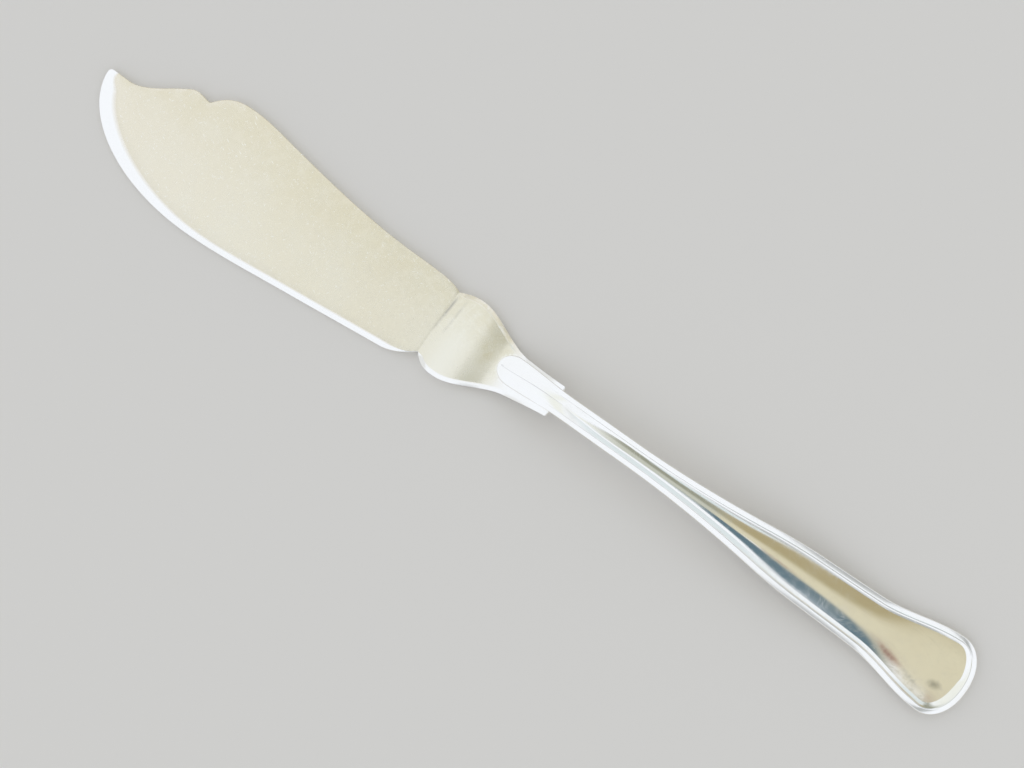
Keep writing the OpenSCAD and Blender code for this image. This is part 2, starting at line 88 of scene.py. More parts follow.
BLADE_T, TIP_T, EDGE_T = 1.6, 1.1, 0.55
CREASE_D, RAMP_L, RAMP_H = 0.012, 2.3, 0.15
CREST_FROM_HEEL, CREST_Z = 8.6, 2.22
DIP_Z, DIP_UNDER_Z, NECK_FLAT_L = 2.14, 0.55, 5.0
COLLAR_T, SHAFT_T, HIP_T, BUTT_T = 2.5, 3.2, 3.1, 2.3
SHAFT_EDGE_T, ARCH_EDGE_T, BUTT_EDGE_T = 2.3, 1.7, 1.1
SHOULDER_Z, ARCH_Z, ARCH_X, BUTT_LEVEL_L = 4.6, 5.6, 32.0, 11.0

# Slopes of the outlines and of the handle, as in the part's source
SPUR_SLOPE, NOTCH_SLOPE, FALL_SLOPE, LEVEL_SLOPE, EDGE_SLOPE = 0.5, 1.35, -0.165, -0.04, 0.095
HEEL_BACK_SLOPE, HEEL_EDGE_SLOPE = -0.5, 0.9
NECK_BACK_SLOPE, NECK_EDGE_SLOPE = 0.55, -1.3
COLLAR_BACK_SLOPE, COLLAR_EDGE_SLOPE, SHOULDER_EDGE_SLOPE = -0.08, 0.15, 0.1
SWELL_SLOPE, HIP_SLOPE, FLARE_SLOPE = 0.12, 0.03, 0.05
OPENING_SLOPE, THINNING_SLOPE, SHOULDER_RISE_SHARE = -0.1, -0.012, 0.45

# Relief that is finer here than in the solids: a narrow groove that is worn at the butt's end, and the
# panel's height where it opens, with its slopes there
GROOVE_W, GROOVE_D, WORN_GROOVE = 0.17, 0.06, 0.25
WORN_FROM_ROUND, WORN_FADE_L = 1.5, 3.2
OPEN_PANEL_L, OPEN_PANEL_H, SLIM_PANEL_H = 3.5, 0.075, 0.13
PANEL_START_SLOPE, PANEL_SLOPE = 0.03, 0.005

# How much wider the border is on the cutting edge's side and narrower on the back's side, as the photo
# shows the panel nearer to the back, the distance from the middle line where that is reached, and how far
# behind the panel's start it begins and how long it grows
EDGE_SHIFT, BACK_SHIFT, SHIFT_Y = 0.1, 0.25, 2.4
SHIFT_FROM_PANEL, SHIFT_GROW_L = 3, 12

# Fine rounding that only this piece has. A rounding's middle point lies MIDDLE_IN of its size from both
# sides, and the cutting edge's rounding takes at most EDGE_ROUND_SHARE of the bevel.
EDGE_ROUND, EDGE_ROUND_SHARE, MIDDLE_IN = 0.1, 0.4, 0.3
BACK_ROUND, UNDER_ROUND = 0.22, 0.14
CREASE_L = 0.6
RIM_ROUND_W, RIM_ROUND_H = 0.28, 0.22

# The tip: its ribs end TIP_RIB_GAP apart on the back, whose rounding starts at TIP_ROUND and grows by
# TIP_ROUND_STEP from rib to rib, and its bevel has TIP_BEVEL_W at the corner and joins the front's later
TIP_RIBS, TIP_RIB_GAP = 7, 0.01
TIP_BEVEL_W, TIP_BEVEL_L = 2.1, 4.0
TIP_ROUND, TIP_ROUND_STEP = 0.004, 0.008

# The front: where its ribs start on the back behind the tip's, the back's rounding there, the power that
# spreads them, and the number of times that the rounding's growth fits in the front
FRONT_GAP, FRONT_ROUND, FRONT_POWER, FRONT_GROWTH = 0.06, 0.06, 0.9, 12

# Ribs turn towards the notches over these lengths, the neck's rims start at HEEL_RIM_H, and an outline's
# slope is taken no nearer to a notch than NOTCH_CLEAR
HEEL_TURN_L, NECK_TURN_L, HEEL_RIM_H, NOTCH_CLEAR = 0.6, 0.9, 0.12, 0.02

# Where painted shade darkens the metal, and how strongly: the crease, a fainter painted line behind it, the
# bevel's inner line and the foot of the inner threads, and in the groove painted shade with tarnish
CREASE_MIDDLE_Y, CREASE_HALF_W, CREASE_FADE_W, CREASE_SHADE_L, CREASE_LEAN = 2.0, 1.9, 2.5, 0.42, 0.06
FIRST_CREASE, SECOND_CREASE, SECOND_CREASE_X = 0.85, 0.35, 1.9
BEVEL_SHADE, GROOVE_SHADE_AND_TARNISH, FOOT_SHADE = 0.12, 0.6, 0.1

# Share of satin finish along the knife, which also sets the painted beige reflection, as knots (place, share,
# slope)
SATIN_AND_REFLECTION = [
    (-BLADE_L, 1, 0),
    (-14, 1, 0),
    (-1, 0.75, -0.03),
    (4.8, 0.3, 0),
    (9.5, 0.6, 0),
    (12, 0.7, 0),
    (15.5, 0.3, -0.1),
    (19, 0, 0),
    (30, 0, 0),
]

# Share of painted warm shade on the blade's and neck's upper side: at the middle, beside the back and on the
# back's rounding, fading out behind the neck, and a brown painted shade in the dip before the tongue
FACE_SHADE, SIDE_SHADE, BACK_SHADE = 0.0, 0.45, 0.95
SHADE_END_X, SHADE_FADE_L = 13.0, 5.0
DIP_SHADE, DIP_SHADE_X, DIP_SHADE_Y, DIP_SHADE_L, DIP_SHADE_W = 0.8, 10.6, 0.3, 2.6, 4.2

# How round the flanks of the threads and the neck's rims are, where 1 is straight
FLANK_POWER = 1.12

# Faces that meet at more than this angle keep a hard line, and points this close in metres are one
HARD_ANGLE = 20
SAME_POINT = 2e-8

# How dense the piece is along the knife. The neck's first ribs lie closer, and even steps start at
# NECK_STEP_X. The handle's are finer for OPENING_L behind the start of the panel.
FRONT_RIBS = 110
BLADE_STEP, CORNER_STEP, CREASE_STEP = 0.7, 0.22, 0.09
FIRST_NECK_RIBS, NECK_STEP_X = [0.0, 0.08, 0.18, 0.3, 0.45], 0.6
NECK_STEP, COLLAR_STEP, SHOULDER_STEP = 0.3, 0.45, 0.08
HANDLE_STEP, OPENING_STEP, OPENING_L = 0.42, 0.252, 3
FAN_RIBS = 44

# How dense it is round each loop: shares of the bevel and the rims, and steps of the other parts. On the
# threads' inner flanks they lie closer to the foot the smaller FOOT_POWER is.
BEVEL_SHARES = (0.35, 0.7)
EDGE_RIM_SHARES = (0, 0.06, 0.25, 0.5, 0.75, 1)
BACK_RIM_SHARES = (0.75, 0.5, 0.25, 0)
FACE_STEPS, ROUND_STEPS, UNDER_STEPS = 12, 4, 6
RIM_STEPS, THREAD_STEPS, GROOVE_STEPS, PANEL_STEPS, FOOT_POWER = 8, 9, 2, 12, 0.7

# Columns of the blade's and neck's loops: the bevel's inner line, the end of the upper face, the end of
# its rounding, and the start of the underside
INNER_COLUMN = 8
FACE_COLUMN = INNER_COLUMN + FACE_STEPS
BACK_COLUMN = FACE_COLUMN + ROUND_STEPS
UNDER_COLUMN = BACK_COLUMN + 3

TIP_X = -BLADE_L
SPUR_X = TIP_X + SPUR_FROM_TIP
NOTCH_X = SPUR_X + NOTCH_FROM_SPUR
LOBE_X = NOTCH_X + LOBE_FROM_NOTCH
FALL_X = LOBE_X + FALL_FROM_LOBE
BELLY_X = TIP_X + BELLY_FROM_TIP
SHAFT_X = NECK_L + SHOULDER_STEP_L
END_X = NECK_L + HANDLE_L
ROUND_X = END_X - BUTT_ROUND
HIP_X = END_X - HIP_FROM_END
SWELL_X = HIP_X - SWELL_FROM_HIP
FLARE_X = END_X - FLARE_FROM_END
PANEL_X = NECK_L + PANEL_FROM_NECK
FAN_X = END_X - BUTT_W / 2
TIP_BACK_X = TIP_X + TIP_BEVEL_W
BUTT_Z = BUTT_T / 2 + max(0, max(INNER_THREAD_H, END_THREAD_H) - BUTT_PANEL_H)

RISE = (SHOULDER_Z - (DIP_Z + DIP_UNDER_Z) / 2) / (NECK_L - TONGUE_X)
SHOULDER_RISE = RISE * SHOULDER_RISE_SHARE


# Curves

def cubic(a, b, x):
    """Value at x of the cubic between two knots (place, value, slope)."""
    w = b[0] - a[0]
    u = (x - a[0]) / w
    v = 1 - u
    return v * v * (1 + 2 * u) * a[1] + u * u * (1 + 2 * v) * b[1] + u * v * w * (v * a[2] - u * b[2])


def along(knots, x):
    """Value at x of a smooth curve through knots (place, value, slope)."""
    i = 0
    for k in range(len(knots) - 1):
        if knots[k][0] <= x:
            i = k
    return cubic(knots[i], knots[i + 1], x)


def slope_of(knots, x, h=0.01):
    """Slope of that curve at x."""
    return (along(knots, x + h) - along(knots, x - h)) / (2 * h)


def places(a, b, step):
    """Even places from a to the last one before b, about a step apart."""
    n = max(1, round((b - a) / step))
    return [a + (b - a) * i / n for i in range(n)]


def mix(a, b, u):
    return a + (b - a) * u


def ease(u):
    """A smooth share from 0 to 1, which stays there beyond them."""
    u = min(max(u, 0.0), 1.0)
    return u * u * (3 - 2 * u)


BACK = [
    (TIP_X, TIP_H + TIP_W, 0),
    (TIP_X + TIP_FLAT_L, TIP_H + TIP_W, 0),
    (SPUR_X - SPUR_ROUND / 2, SPUR_H - SPUR_ROUND * SPUR_SLOPE / 4, SPUR_SLOPE),
    (SPUR_X + SPUR_ROUND / 2, SPUR_H, -NOTCH_D / NOTCH_FROM_SPUR),
    (NOTCH_X, SPUR_H - NOTCH_D, -NOTCH_D / NOTCH_FROM_SPUR),
    (NOTCH_X, SPUR_H - NOTCH_D, NOTCH_SLOPE),
    (LOBE_X, LOBE_H, 0),
    (FALL_X, FALL_H, FALL_SLOPE),
    (-LEVEL_FROM_HEEL, LEVEL_H, LEVEL_SLOPE),
    (-HEEL_BACK_L, LEVEL_H + LEVEL_SLOPE * (LEVEL_FROM_HEEL - HEEL_BACK_L) / 2, LEVEL_SLOPE),
    (0, NOTCH_BACK_Y, HEEL_BACK_SLOPE),
]
EDGE = [
    (BELLY_X, -BELLY_D, 0),
    ((BELLY_X - HEEL_EDGE_L) / 2, -MIDDLE_D, EDGE_SLOPE),
    (-HEEL_EDGE_L, -HEEL_D, EDGE_SLOPE),
    (0, -NOTCH_EDGE_Y, HEEL_EDGE_SLOPE),
]
FRONT = [
    Vector((TIP_X, TIP_H)),
    Vector((TIP_X, TIP_H - FRONT_PULL)),
    Vector((BELLY_X - BELLY_PULL, -BELLY_D)),
    Vector((BELLY_X, -BELLY_D)),
]
BEVEL = [(TIP_X, FRONT_BEVEL_W, 0), (BELLY_X + BEVEL_NARROW_L, REAR_BEVEL_W, 0), (0, REAR_BEVEL_W, 0)]
BEVEL_SHARE = [(TIP_X, 1, 0), (-HEEL_EDGE_L, 1, 0), (0, HEEL_SHARE, 0)]
NECK_BACK = [
    (0, NOTCH_BACK_Y, NECK_BACK_SLOPE),
    (BULGE_X, BULGE_BACK_Y, 0),
    (COLLAR_X, COLLAR_BACK_Y, COLLAR_BACK_SLOPE),
    (NECK_L, SHOULDER_BACK_Y, 0),
    (SHAFT_X, SHAFT_W / 2 - RIM_W / 2, 0),
]
NECK_EDGE = [
    (0, -NOTCH_EDGE_Y, NECK_EDGE_SLOPE),
    (BULGE_X, -BULGE_EDGE_Y, 0),
    (COLLAR_X, -COLLAR_EDGE_Y, COLLAR_EDGE_SLOPE),
    (NECK_L, -SHOULDER_EDGE_Y, SHOULDER_EDGE_SLOPE),
    (SHAFT_X, RIM_W / 2 - SHAFT_W / 2, 0),
]
NECK_TOP = [
    (0, BLADE_T - CREASE_D, (CREASE_D + RAMP_H) / RAMP_L),
    (RAMP_L, BLADE_T + RAMP_H, (CREST_Z - BLADE_T - RAMP_H) / (CREST_FROM_HEEL - RAMP_L)),
    (CREST_FROM_HEEL, CREST_Z, 0),
    (TONGUE_X - DIP_FROM_TONGUE, DIP_Z, 0),
    (NECK_L, SHOULDER_Z + COLLAR_T / 2, SHOULDER_RISE),
]
NECK_UNDER = [
    (0, 0, 0),
    (NECK_FLAT_L, 0, 0),
    (TONGUE_X, DIP_UNDER_Z, SHOULDER_RISE),
    (NECK_L, SHOULDER_Z - COLLAR_T / 2, SHOULDER_RISE),
]
HALF_WIDTH = [
    (TONGUE_X + TONGUE_ROUND, TONGUE_W / 2, 0),
    (SHAFT_X, SHAFT_W / 2, 0),
    (NECK_L + SHAFT_L, SHAFT_END_W / 2, 0),
    (SWELL_X, SWELL_W / 2, SWELL_SLOPE),
    (HIP_X, HIP_W / 2, HIP_SLOPE),
    (FLARE_X, FLARE_W / 2, FLARE_SLOPE),
    (ROUND_X, BUTT_W / 2, 0),
    (END_X, BUTT_W / 2, 0),
]
MIDDLE = [
    (TONGUE_X, (DIP_Z + DIP_UNDER_Z) / 2, RISE),
    (NECK_L, SHOULDER_Z, SHOULDER_RISE),
    (NECK_L + ARCH_X, ARCH_Z, 0),
    (END_X - BUTT_LEVEL_L, BUTT_Z, 0),
    (END_X, BUTT_Z, 0),
]
HALF_THICK = [
    (TONGUE_X, (DIP_Z - DIP_UNDER_Z) / 2 + TONGUE_STEP + TONGUE_CROWN, 0),
    (NECK_L, SHAFT_T / 2, 0),
    (NECK_L + ARCH_X, SHAFT_T / 2, 0),
    (HIP_X, HIP_T / 2, THINNING_SLOPE),
    (END_X - BUTT_LEVEL_L, BUTT_T / 2, 0),
    (END_X, BUTT_T / 2, 0),
]
HALF_EDGE = [
    (TONGUE_X, (DIP_Z - DIP_UNDER_Z) / 2 + TONGUE_STEP, 0),
    (NECK_L, SHAFT_EDGE_T / 2, 0),
    (NECK_L + ARCH_X, ARCH_EDGE_T / 2, 0),
    (END_X, BUTT_EDGE_T / 2, 0),
]
PANEL_H = [
    (TONGUE_X, 0, 0),
    (PANEL_X, 0, PANEL_START_SLOPE),
    (PANEL_X + OPEN_PANEL_L, OPEN_PANEL_H, PANEL_SLOPE),
    (NECK_L + SHAFT_L, SLIM_PANEL_H, PANEL_SLOPE),
    (HIP_X, HIP_PANEL_H, 0),
    (END_X - BUTT_LEVEL_L, BUTT_PANEL_H, 0),
    (END_X, BUTT_PANEL_H, 0),
]
BORDER = [
    (PANEL_X, SHAFT_W / 2, OPENING_SLOPE),
    (NECK_L + SHAFT_L, SHAFT_BORDER_W, 0),
    (HIP_X, HIP_BORDER_W, 0),
    (ROUND_X, HIP_BORDER_W, 0),
    (END_X, END_BORDER_W, 0),
]
THREAD = [
    (NECK_L, SHAFT_THREAD_W, 0),
    (HIP_X, BUTT_THREAD_W, 0),
    (ROUND_X, BUTT_THREAD_W, 0),
    (END_X, BUTT_THREAD_W * END_BORDER_W / HIP_BORDER_W, 0),
]
THREAD_H = [
    (TONGUE_X, INNER_THREAD_H, 0),
    (ROUND_X, INNER_THREAD_H, 0),
    (END_X, END_THREAD_H, 0),
]
FADE = [
    (TONGUE_X, 0, 0),
    (NECK_L - THREAD_START_L, 0, 0),
    (NECK_L + THREAD_FADE_L, 1, 0),
    (END_X, 1, 0),
]


# Mesh building

def smooth_object(name, bm):
    """An object of the mesh in bm, smooth but for its hard lines."""
    for f in bm.faces:
        f.smooth = True
    mesh = bpy.data.meshes.new(name)
    bm.to_mesh(mesh)
    bm.free()
    obj = bpy.data.objects.new(name, mesh)
    bpy.context.scene.collection.objects.link(obj)
    return obj


def loft(name, loops, shades, capped, sharp_columns=lambda row: ()):
    """A closed mesh through loops of the same number of points, whose ends are capped or close by themselves.

    shades gives each point's share of painted shade with tarnish, of satin finish with painted reflection and
    of painted warm shade, and sharp_columns(row) names the columns that keep a hard line at that row.
    """
    bm = bmesh.new()
    # Layers: painted shade with tarnish, satin finish with painted reflection, and painted warm shade
    layers = [bm.verts.layers.float.new(k) for k in ("shade_and_tarnish", "satin_and_reflection", "warm_shade")]
    rows = []
    for loop, shade in zip(loops, shades):
        rows.append([])
        for p, shares in zip(loop, shade):
            v = bm.verts.new(Vector(p) * MM)
            for layer, share in zip(layers, shares):
                v[layer] = share
            rows[-1].append(v)
    n = len(loops[0])
    for i in range(len(rows) - 1):
        for j in range(n):
            k = (j + 1) % n
            bm.faces.new((rows[i][j], rows[i][k], rows[i + 1][k], rows[i + 1][j]))
    if capped:
        bm.faces.new(rows[0][::-1])
        bm.faces.new(rows[-1])
    for i in range(len(rows) - 1):
        for j in sharp_columns(i):
            bm.edges.get((rows[i][j], rows[i + 1][j])).smooth = False
    bmesh.ops.triangulate(bm, faces=[f for f in bm.faces if len(f.verts) > 4])
    bmesh.ops.remove_doubles(bm, verts=bm.verts, dist=SAME_POINT)
    bmesh.ops.recalc_face_normals(bm, faces=bm.faces)
    return smooth_object(name, bm)


def raised(p, z):
    """The point of the outline's plane at height z."""
    return (p.x, p.y, z)


def inward(slope, side):
    """Direction into the metal from an outline of that slope, with side 1 at the edge and -1 at the back."""
    return Vector((-side * slope, side)).normalized()


def flank(u):
    """Share of a flank's height at share u of the way up it, slightly rounded."""
    return 1 - (1 - u) ** FLANK_POWER


def top_of_blade(x):
    """Height of the blade's upper face, which dips into the crease at the heel."""
    z = BLADE_T + (BLADE_T - TIP_T) * x / BLADE_L
    return z - CREASE_D * (1 - ease(-x / CREASE_L)) if x > -CREASE_L else z


def top_of_neck(x):
    return along(NECK_TOP, min(max(x, 0), SHAFT_X))


def underside(back, back_in, w, h, end, z):
    """Points down the back's lower rounding, which is w wide and h high, and on towards the end."""
    start = back + back_in * w
    points = [
        raised(back, z + h),
        raised(back + back_in * (w * MIDDLE_IN), z + h * MIDDLE_IN),
        raised(start, z),
    ]
    return points + [raised(start.lerp(end, i / UNDER_STEPS), z) for i in range(1, UNDER_STEPS)]


def blade_loop(edge, edge_in, bevel_w, back, back_in, back_r):
    """A loop from the cutting edge over the top to the back and home, with the directions into the metal."""
    slope = (top_of_blade(edge.x) - EDGE_T) / along(BEVEL, min(edge.x, 0))
    inner = edge + edge_in * bevel_w
    inner_top = top_of_blade(inner.x)
    wall = inner_top - slope * bevel_w
    r = min(EDGE_ROUND, bevel_w * EDGE_ROUND_SHARE)
    c = MIDDLE_IN * r
    points = [
        raised(edge + edge_in * r, 0),
        raised(edge + edge_in * c, c),
        raised(edge, r),
        raised(edge, wall - r),
        raised(edge + edge_in * c, wall - c + slope * c),
        raised(edge + edge_in * r, wall + slope * r),
    ]
    for u in BEVEL_SHARES:
        off = mix(r, bevel_w, u)
        points.append(raised(edge + edge_in * off, wall + slope * off))
    points.append(raised(inner, inner_top))
    face_end = back + back_in * back_r
    for i in range(1, FACE_STEPS + 1):
        q = inner.lerp(face_end, i / FACE_STEPS)
        points.append(raised(q, top_of_blade(q.x)))
    for i in range(1, ROUND_STEPS + 1):
        turn = math.radians(90 * i / ROUND_STEPS)
        q = back + back_in * (back_r * (1 - math.sin(turn)))
        points.append(raised(q, top_of_blade(back.x) - back_r * (1 - math.cos(turn))))
    low = min(UNDER_ROUND, back_r)
    return points + underside(back, back_in, low, low, edge + edge_in * r, 0)


def neck_loop(x, edge, edge_in, back, back_in, rim_w, rim_h):
    """A loop round the neck like those of the blade, with a rim of that width and height at both sides."""
    crown = NECK_CROWN * ease(x / CREST_FROM_HEEL)
    top, under = along(NECK_TOP, x) - crown, along(NECK_UNDER, x)
    lift = min(1.0, under / RIM_H) * rim_h
    low_w, low_h = max(UNDER_ROUND, lift * rim_w / rim_h), max(UNDER_ROUND, lift)

    def on_rim(outer, way_in, u):
        q = outer + way_in * (rim_w * u)
        return raised(q, mix(top, top_of_neck(q.x) - crown, u) - rim_h * (1 - flank(u)))

    points = [
        raised(edge + edge_in * low_w, under),
        raised(edge + edge_in * low_w * MIDDLE_IN, under + low_h * MIDDLE_IN),
        raised(edge, under + low_h),
    ]
    points += [on_rim(edge, edge_in, u) for u in EDGE_RIM_SHARES]
    inner, face_end = edge + edge_in * rim_w, back + back_in * rim_w
    for i in range(1, FACE_STEPS + 1):
        q = inner.lerp(face_end, i / FACE_STEPS)
        points.append(raised(q, top_of_neck(q.x) - crown * (2 * i / FACE_STEPS - 1) ** 2))
    points += [on_rim(back, back_in, u) for u in BACK_RIM_SHARES]
    return points + underside(back, back_in, low_w, low_h, edge + edge_in * low_w, under)


def back_at(x):
    """Point of the blade's back at x, and the direction into the metal."""
    slope = slope_of(BACK, min(x, -NOTCH_CLEAR))
    return Vector((x, along(BACK, x))), inward(slope, -1)


def front_at(u):
    """Point at share u of the front curve, and the direction into the metal."""
    v = 1 - u
    p = v**3 * FRONT[0] + 3 * u * v * v * FRONT[1] + 3 * u * u * v * FRONT[2] + u**3 * FRONT[3]
    d = v * v * (FRONT[1] - FRONT[0]) + 2 * u * v * (FRONT[2] - FRONT[1]) + u * u * (FRONT[3] - FRONT[2])
    return p, Vector((-d.y, d.x)).normalized()


def tip_loops():
    """Loops of the tip's rounded corner, whose ribs end close together on the back."""
    loops = []
    for i in range(TIP_RIBS):
        turn = math.radians(90 + 90 * i / TIP_RIBS)
        edge = Vector((TIP_X + TIP_W * (1 + math.cos(turn)), TIP_H + TIP_W * math.sin(turn)))
        back, back_in = back_at(TIP_BACK_X + TIP_RIB_GAP * i)
        back_r = TIP_ROUND + TIP_ROUND_STEP * i
        loops.append(blade_loop(edge, Vector((1, 0)), TIP_BACK_X - edge.x, back, back_in, back_r))
    return loops


def front_loops():
    """Loops whose ribs are square to the front curve, and spread along the back as along the curve."""
    curve = [front_at(i / FRONT_RIBS) for i in range(FRONT_RIBS)]
    run = [0.0]
    for i in range(1, FRONT_RIBS):
        run.append(run[-1] + (curve[i][0] - curve[i - 1][0]).length)
    whole = run[-1] + (FRONT[3] - curve[-1][0]).length
    loops = []
    for (edge, edge_in), so_far in zip(curve, run):
        share = so_far / whole
        back, back_in = back_at(mix(TIP_BACK_X + FRONT_GAP, BELLY_X, share ** FRONT_POWER))
        bevel_w = mix(TIP_BEVEL_W, along(BEVEL, edge.x), ease(so_far / TIP_BEVEL_L))
        back_r = mix(FRONT_ROUND, BACK_ROUND, min(1, share * FRONT_GROWTH))
        loops.append(blade_loop(edge, edge_in, bevel_w, back, back_in, back_r))
    return loops


NOTCH_EDGE_IN = (inward(HEEL_EDGE_SLOPE, 1) + inward(NECK_EDGE_SLOPE, 1)).normalized()
NOTCH_BACK_IN = (inward(HEEL_BACK_SLOPE, -1) + inward(NECK_BACK_SLOPE, -1)).normalized()


def rear_loops():
    """Loops of the blade from the belly to the heel, whose ribs turn into the notches."""
    loops = []
    for x in (places(BELLY_X, -HEEL_EDGE_L, BLADE_STEP)
              + places(-HEEL_EDGE_L, -CREASE_L, CORNER_STEP)
              + places(-CREASE_L, 0, CREASE_STEP)):
        turn = ease(1 + x / HEEL_TURN_L)
        edge = Vector((x, along(EDGE, x)))
        edge_in = inward(slope_of(EDGE, min(x, -NOTCH_CLEAR)), 1).lerp(NOTCH_EDGE_IN, turn).normalized()
        back, back_in = back_at(x)
        back_in = back_in.lerp(NOTCH_BACK_IN, turn).normalized()
        bevel_w = along(BEVEL, x) * along(BEVEL_SHARE, x)
        loops.append(blade_loop(edge, edge_in, bevel_w, back, back_in, BACK_ROUND))
    return loops


def neck_loops():
    """Loops of the neck, whose rims grow from the notches, and which ends in the shoulders."""
    loops = []
    for x in (FIRST_NECK_RIBS
              + places(NECK_STEP_X, COLLAR_X, NECK_STEP)
              + places(COLLAR_X, NECK_L, COLLAR_STEP)
              + places(NECK_L, SHAFT_X, SHOULDER_STEP) + [SHAFT_X]):
        turn, grow = ease(1 - x / NECK_TURN_L), ease(x / NECK_TURN_L)
        edge, back = Vector((x, along(NECK_EDGE, x))), Vector((x, along(NECK_BACK, x)))
        if x > NECK_L:
            edge_in, back_in = Vector((0, 1)), Vector((0, -1))
        else:
            near = max(x, NOTCH_CLEAR)
            edge_in = inward(slope_of(NECK_EDGE, near), 1).lerp(NOTCH_EDGE_IN, turn).normalized()
            back_in = inward(slope_of(NECK_BACK, near), -1).lerp(NOTCH_BACK_IN, turn).normalized()
        rim_w, rim_h = mix(REAR_BEVEL_W * HEEL_SHARE, RIM_W, grow), mix(HEEL_RIM_H, RIM_H, grow)
        loops.append(neck_loop(x, edge, edge_in, back, back_in, rim_w, rim_h))
    return loops


def plate_shades(loops, blade_rows):
    """Painted shade in the crease and along the bevel's inner line, satin with painted reflection that fades
    out on the neck, and painted warm shade.
    """
    shades = []
    for i, loop in enumerate(loops):
        row = []
        for j, (x, y, z) in enumerate(loop):
            # The crease's darkening here and the bevel's inner line below are painted shade
            middle = 1 - ease((abs(y - CREASE_MIDDLE_Y) - CREASE_HALF_W) / CREASE_FADE_W)
            at = x - CREASE_LEAN * y
            crease = FIRST_CREASE * middle * (1 - ease(abs(at) / CREASE_SHADE_L))
            second = SECOND_CREASE * middle * (1 - ease(abs(at - SECOND_CREASE_X) / CREASE_SHADE_L))
            line = BEVEL_SHADE if i < blade_rows and j == INNER_COLUMN else 0
            shade_and_tarnish = max(crease, second) if z > BLADE_T / 2 else 0
            on_face = INNER_COLUMN <= j <= BACK_COLUMN or j > UNDER_COLUMN
            row.append((max(shade_and_tarnish, line), along(SATIN_AND_REFLECTION, x) if on_face else 0, warm_shade_share(j, x, y)))
        shades.append(row)
    return shades


def warm_shade_share(column, x, y):
    """Painted warm shade at a point of the blade or the neck by its column in the loop, darker towards the
    back, and in the dip before the tongue.
    """
    if not INNER_COLUMN <= column <= BACK_COLUMN:
        return 0
    across = ease((column - INNER_COLUMN) / (FACE_COLUMN - INNER_COLUMN))
    share = mix(FACE_SHADE, SIDE_SHADE, across ** 2) if column <= FACE_COLUMN else BACK_SHADE
    share *= 1 - ease((x - SHADE_END_X) / SHADE_FADE_L)
    far = math.hypot((x - DIP_SHADE_X) / DIP_SHADE_L, (y - DIP_SHADE_Y) / DIP_SHADE_W)
    return max(share, DIP_SHADE * (1 - ease(far)))


def groove_share(foot):
    """Share of the groove's depth, which is worn away across the end of the butt."""
    return mix(1, WORN_GROOVE, ease((foot.x - ROUND_X - WORN_FROM_ROUND) / WORN_FADE_L))


def half_thick(foot, head, d, border):
    """Half thickness of the handle at distance d from the foot of a rib, with a border of the given width."""
    reach = (head - foot).length
    thread = along(THREAD, max(foot.x, NECK_L))
    half_groove = GROOVE_W / 2
    q = d / reach
    at = mix(foot.x, head.x, q)
    edge, middle, panel_h = along(HALF_EDGE, at), along(HALF_THICK, at), along(PANEL_H, at)
    plain = mix(edge, middle, q * (2 - q))
    low = middle - panel_h
    ridge = low + along(THREAD_H, foot.x)
    off_groove = abs(d - thread)
    if off_groove <= half_groove:
        made = ridge - GROOVE_D * groove_share(foot) * (1 - off_groove / half_groove)
    elif d < thread:
        made = mix(edge, ridge, flank(d / (thread - half_groove)))
    elif d < border:
        made = mix(low, ridge, flank((border - d) / (border - thread - half_groove)))
    else:
        v = (d - border) / (reach - border) if reach > border else 0
        made = low + panel_h * v * (2 - v)
    z = mix(plain, made, along(FADE, foot.x))
    if d < RIM_ROUND_W:
        z -= RIM_ROUND_H * (1 - math.sqrt(1 - (1 - d / RIM_ROUND_W) ** 2))
    return z


def border_width(foot, head, side):
    """Width of the border on one side, which is 1 for the back's and -1 for the cutting edge's."""
    reach = (head - foot).length
    if foot.x <= PANEL_X:
        return reach
    grown = ease((foot.x - PANEL_X - SHIFT_FROM_PANEL) / SHIFT_GROW_L) * ease(foot.y / SHIFT_Y)
    return min(reach, along(BORDER, foot.x) + (-BACK_SHIFT if side > 0 else EDGE_SHIFT) * grown)


def handle_half(foot, head, side):
    """Points of one rib from its foot to its head, as place, half thickness and share of painted shade with
    tarnish.
    """
    reach = (head - foot).length
    border, thread = border_width(foot, head, side), along(THREAD, max(foot.x, NECK_L))
    half_groove = GROOVE_W / 2
    steps = [RIM_ROUND_W * (1 - math.cos(math.radians(90 * i / RIM_STEPS))) for i in range(RIM_STEPS)]
    steps += [mix(RIM_ROUND_W, thread - half_groove, i / THREAD_STEPS) for i in range(THREAD_STEPS)]
    steps += [thread + half_groove * i / GROOVE_STEPS for i in range(-GROOVE_STEPS, GROOVE_STEPS)]
    shares = [(i / THREAD_STEPS) ** FOOT_POWER for i in range(THREAD_STEPS)]
    steps += [mix(thread + half_groove, border, share) for share in shares]
    steps += [mix(border, reach, i / PANEL_STEPS) for i in range(PANEL_STEPS + 1)]
    shown = along(FADE, foot.x) * groove_share(foot)
    half = []
    for d in steps:
        q = foot.lerp(head, d / reach)
        # Painted shade with tarnish in the groove, and painted shade at the foot of the inner thread
        in_groove = 1 - ease(abs(d - thread) / half_groove)
        at_foot = FOOT_SHADE * (1 - ease(abs(d - border) / half_groove))
        shade_and_tarnish = shown * max(GROOVE_SHADE_AND_TARNISH * in_groove, at_foot)
        half.append((q.x, q.y, along(MIDDLE, q.x), half_thick(foot, head, d, border), shade_and_tarnish))
    return half


